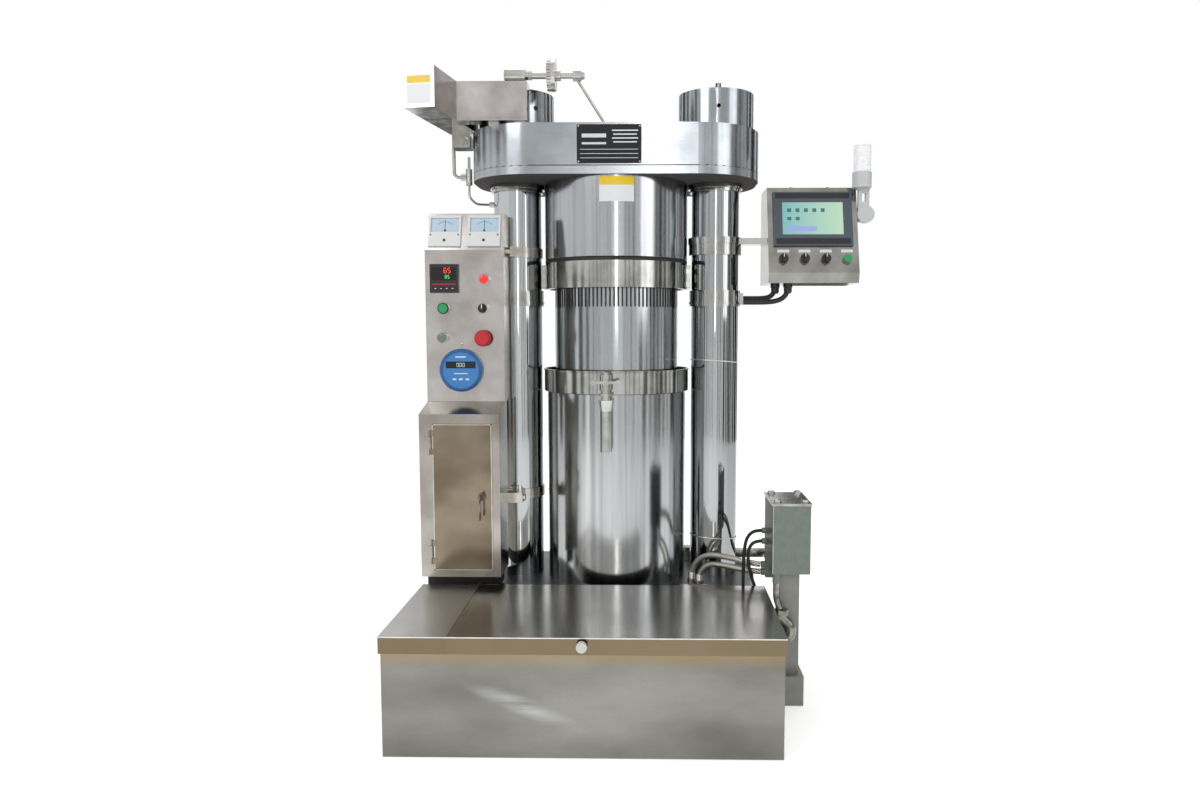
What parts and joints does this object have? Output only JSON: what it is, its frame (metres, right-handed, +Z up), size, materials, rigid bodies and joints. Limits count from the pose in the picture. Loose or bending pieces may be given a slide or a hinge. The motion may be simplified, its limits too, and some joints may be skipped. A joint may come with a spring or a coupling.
{
  "type": "hydraulic oil press",
  "caption": "Free-standing hydraulic press that squeezes oil from seeds, with a tank, a control cabinet and an operator console on a swing arm.",
  "frame": {"origin": "on the floor under the axis of the ram, on the underside of the base frame's middle tie", "axes": "+Z up along the ram, -Y towards the operator in front of the tank, +X to the operator's right"},
  "size_m": [1.14, 0.7985, 1.527],
  "materials": {
    "polished_steel": "mirror polished stainless sheet",
    "hard_chrome": "ground and hard chromed steel",
    "satin_steel": "satin stainless sheet",
    "machined_steel": "turned and milled steel",
    "forged_steel": "dark grey paint on steel",
    "black_plastic": "moulded",
    "black_rubber": "smooth sheath",
    "braided_steel": "woven stainless braid",
    "screen_frame": "moulded frame round a display",
    "white_plastic": "moulded",
    "meter_case": "clear front over a white scale",
    "blue_plastic": "moulded",
    "red_plastic": "moulded",
    "green_plastic": "moulded",
    "nickel": "nickel plated brass"
  },
  "bodies": {
    "root": {"base_frame": "forged_steel", "machine_bed": "forged_steel", "columns": "hard_chrome", "column_nuts": "machined_steel", "column_collars": "polished_steel", "top_beam": "polished_steel", "beam_cladding": "polished_steel", "nut_covers": "polished_steel", "press_barrel": "hard_chrome", "barrel_head": "machined_steel", "clamp_ring": "polished_steel", "clamp_bolts": "machined_steel", "main_cylinder": "forged_steel", "cylinder_gland": "machined_steel", "cylinder_shroud": "polished_steel", "oil_tray": "polished_steel", "outlet_valve": "satin_steel", "tank_box": "satin_steel", "pump_motor": "forged_steel", "lower_cabinet": "satin_steel", "control_housing": "satin_steel", "panel_meters": "meter_case", "button_bezels": "nickel", "indicator_lamps": "red_plastic", "temperature_controller": "black_plastic", "pressure_display": "blue_plastic", "cabinet_clamps": "satin_steel", "drive_housing": "satin_steel", "drive_valve": "black_plastic", "spindle_supports": "machined_steel", "oil_line": "satin_steel", "valve_box": "satin_steel", "oil_pipes": "satin_steel", "braided_hose_front": "braided_steel", "braided_hose_rear": "braided_steel", "power_lead": "black_rubber", "signal_lead": "black_rubber"},
    "ram": {"ram_head": "hard_chrome", "filter_plate": "machined_steel", "ram_plunger": "hard_chrome"},
    "lid": {"tank_lid": "satin_steel"},
    "door": {"cabinet_door": "satin_steel"},
    "lock": {"door_lock": "nickel"},
    "voltmeter": {"voltmeter_needle": "black_plastic"},
    "ammeter": {"ammeter_needle": "black_plastic"},
    "start": {"start_button": "green_plastic"},
    "selector": {"selector_knob": "black_plastic"},
    "stop": {"emergency_stop": "red_plastic"},
    "arm": {"swing_arm": "polished_steel", "console_box": "polished_steel", "touch_panel": "screen_frame", "console_cable_front": "black_rubber", "console_cable_rear": "black_rubber"},
    "knob_left": {"console_knob_left": "black_plastic"},
    "knob_middle": {"console_knob_middle": "black_plastic"},
    "knob_right": {"console_knob_right": "black_plastic"},
    "console_start": {"console_button": "green_plastic"},
    "lamp": {"signal_lamp": "white_plastic"},
    "cock": {"outlet_handle": "satin_steel"},
    "spindle": {"hand_spindle": "machined_steel"}
  },
  "joints": [
    {"name": "ram_stroke", "type": "slide", "parent": "root", "child": "ram", "axis": [0, 0, 1], "range_m": [-0.19, 0.14]},
    {"name": "lid_hinge", "type": "hinge", "parent": "root", "child": "lid", "pos_m": [0, -0.219, 0.25], "axis": [1, 0, 0], "range_deg": [-40, 0]},
    {"name": "door_hinge", "type": "hinge", "parent": "root", "child": "door", "pos_m": [-0.438, -0.241, 0.47], "axis": [0, 0, -1], "range_deg": [0, 110]},
    {"name": "lock_turn", "type": "hinge", "parent": "door", "child": "lock", "pos_m": [-0.315, -0.241, 0.473], "axis": [0, 1, 0], "range_deg": [0, 90]},
    {"name": "voltmeter_swing", "type": "hinge", "parent": "root", "child": "voltmeter", "pos_m": [-0.417, -0.13541, 1.11541], "axis": [0, 0.9558, -0.2941], "range_deg": [-40, 40], "stiffness_Nm_per_rad": 0.0005},
    {"name": "ammeter_swing", "type": "hinge", "parent": "root", "child": "ammeter", "pos_m": [-0.32, -0.13541, 1.11541], "axis": [0, 0.9558, -0.2941], "range_deg": [-40, 40], "stiffness_Nm_per_rad": 0.0005},
    {"name": "start_press", "type": "slide", "parent": "root", "child": "start", "axis": [0, 1, 0], "range_m": [0, 0.003], "stiffness_N_per_m": 600, "springref_m": -0.002},
    {"name": "selector_turn", "type": "hinge", "parent": "root", "child": "selector", "pos_m": [-0.323, -0.16, 0.925], "axis": [0, 1, 0], "range_deg": [-45, 45]},
    {"name": "stop_press", "type": "slide", "parent": "root", "child": "stop", "axis": [0, 1, 0], "range_m": [0, 0.004], "stiffness_N_per_m": 600, "springref_m": -0.002},
    {"name": "arm_swing", "type": "hinge", "parent": "root", "child": "arm", "pos_m": [0.257, 0, 1.092], "axis": [0, 0, 1], "range_deg": [-90, 45]},
    {"name": "knob_left_turn", "type": "hinge", "parent": "arm", "child": "knob_left", "pos_m": [0.428, -0.05032, 1.05167], "axis": [0, 0.9632, -0.2689], "range_deg": [-45, 45]},
    {"name": "knob_middle_turn", "type": "hinge", "parent": "arm", "child": "knob_middle", "pos_m": [0.482, -0.05032, 1.05167], "axis": [0, 0.9632, -0.2689], "range_deg": [-45, 45]},
    {"name": "knob_right_turn", "type": "hinge", "parent": "arm", "child": "knob_right", "pos_m": [0.536, -0.05032, 1.05167], "axis": [0, 0.9632, -0.2689], "range_deg": [-45, 45]},
    {"name": "console_press", "type": "slide", "parent": "arm", "child": "console_start", "axis": [0, 0.9632, -0.2689], "range_m": [0, 0.003], "stiffness_N_per_m": 600, "springref_m": -0.002},
    {"name": "lamp_fold", "type": "hinge", "parent": "arm", "child": "lamp", "pos_m": [0.642, 0, 1.168], "axis": [0, 1, 0], "range_deg": [0, 90]},
    {"name": "cock_turn", "type": "hinge", "parent": "root", "child": "cock", "pos_m": [-0.018, -0.233, 0.748], "axis": [0, 1, 0], "range_deg": [0, 90]},
    {"name": "spindle_turn", "type": "hinge", "parent": "root", "child": "spindle", "pos_m": [-0.2, -0.127, 1.489], "axis": [1, 0, 0], "continuous": true}
  ]
}
